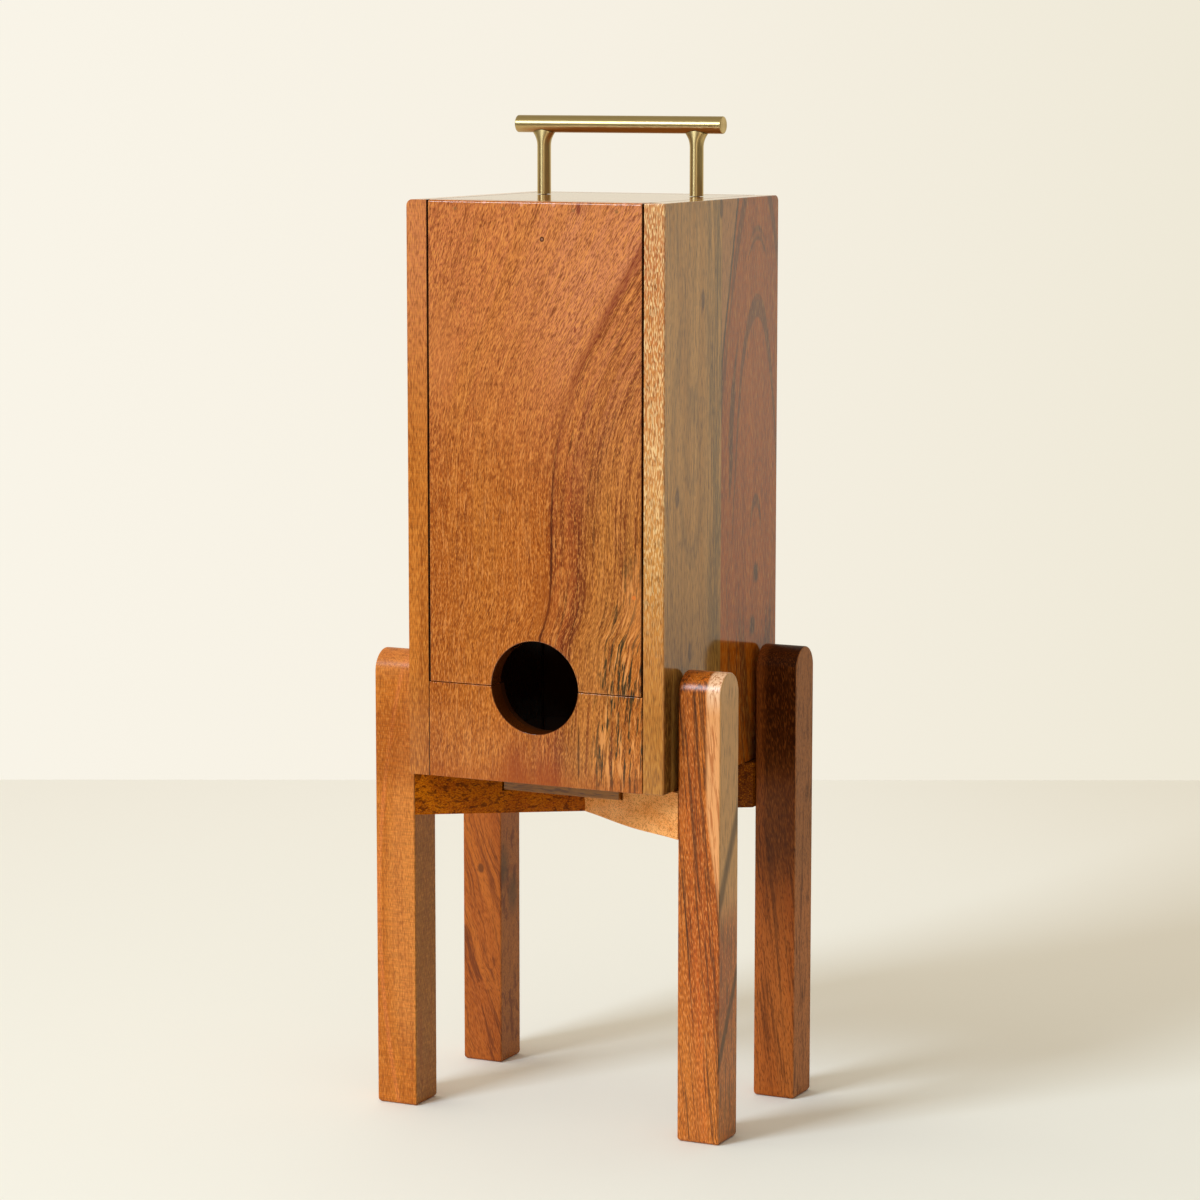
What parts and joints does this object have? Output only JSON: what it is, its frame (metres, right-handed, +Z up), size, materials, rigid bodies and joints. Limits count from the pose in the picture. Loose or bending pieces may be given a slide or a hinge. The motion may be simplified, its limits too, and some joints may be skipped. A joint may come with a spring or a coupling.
{
  "type": "box wine dispenser",
  "caption": "Wooden cabinet for a boxed wine carton, with a lift-out front door, a round tap hole and a brass bar handle, resting on a separate legged stand with crossed arms.",
  "frame": {"origin": "on the floor, under the middle of the stand and of the cabinet", "axes": "+X to the right seen from the front, +Y to the back, +Z up"},
  "size_m": [0.273, 0.198, 0.7172],
  "materials": {
    "door_wood": "clear satin lacquer on figured orange-brown hardwood",
    "front_wood": "clear satin lacquer on figured orange-brown hardwood",
    "side_wood": "clear satin lacquer on golden hardwood",
    "board_wood": "clear satin lacquer on olive-brown hardwood",
    "leg_wood": "clear gloss lacquer on streaked orange hardwood",
    "dark_leg_wood": "clear gloss lacquer on dark brown hardwood",
    "arm_wood": "clear satin lacquer on amber hardwood",
    "dowel_wood": "bare beech, glued and out of sight",
    "brass": "satin brushed",
    "steel": "zinc plated"
  },
  "bodies": {
    "stand": {"leg_front_left": "leg_wood", "leg_front_right": "leg_wood", "leg_back_left": "leg_wood", "leg_back_right": "dark_leg_wood", "cross_arm_lower": "arm_wood", "cross_arm_upper": "arm_wood", "lap_screw": "steel", "leg_dowel_front_left_lower": "dowel_wood", "leg_dowel_front_left_upper": "dowel_wood", "leg_dowel_front_right_lower": "dowel_wood", "leg_dowel_front_right_upper": "dowel_wood", "leg_dowel_back_left_lower": "dowel_wood", "leg_dowel_back_left_upper": "dowel_wood", "leg_dowel_back_right_lower": "dowel_wood", "leg_dowel_back_right_upper": "dowel_wood"},
    "cabinet": {"left_side_panel": "side_wood", "right_side_panel": "side_wood", "back_panel": "board_wood", "floor_panel": "board_wood", "top_panel": "board_wood", "lower_front_panel": "front_wood", "locating_plate": "board_wood", "plate_screw_left_front": "steel", "plate_screw_left_back": "steel", "plate_screw_right_front": "steel", "plate_screw_right_back": "steel", "floor_dowel_left_front": "dowel_wood", "floor_dowel_left_back": "dowel_wood", "floor_dowel_right_front": "dowel_wood", "floor_dowel_right_back": "dowel_wood", "top_dowel_left_front": "dowel_wood", "top_dowel_left_back": "dowel_wood", "top_dowel_right_front": "dowel_wood", "top_dowel_right_back": "dowel_wood", "handle_bar": "brass", "handle_post_left": "brass", "handle_post_right": "brass", "handle_washer_left": "steel", "handle_washer_right": "steel", "handle_screw_left": "steel", "handle_screw_right": "steel"},
    "door": {"sliding_door": "door_wood"}
  },
  "joints": [
    {"name": "cabinet_lift", "type": "slide", "parent": "stand", "child": "cabinet", "axis": [0, 0, 1], "range_m": [0, 0.12]},
    {"name": "door_slide", "type": "slide", "parent": "cabinet", "child": "door", "axis": [0, 0, 1], "range_m": [0, 0.345]}
  ]
}
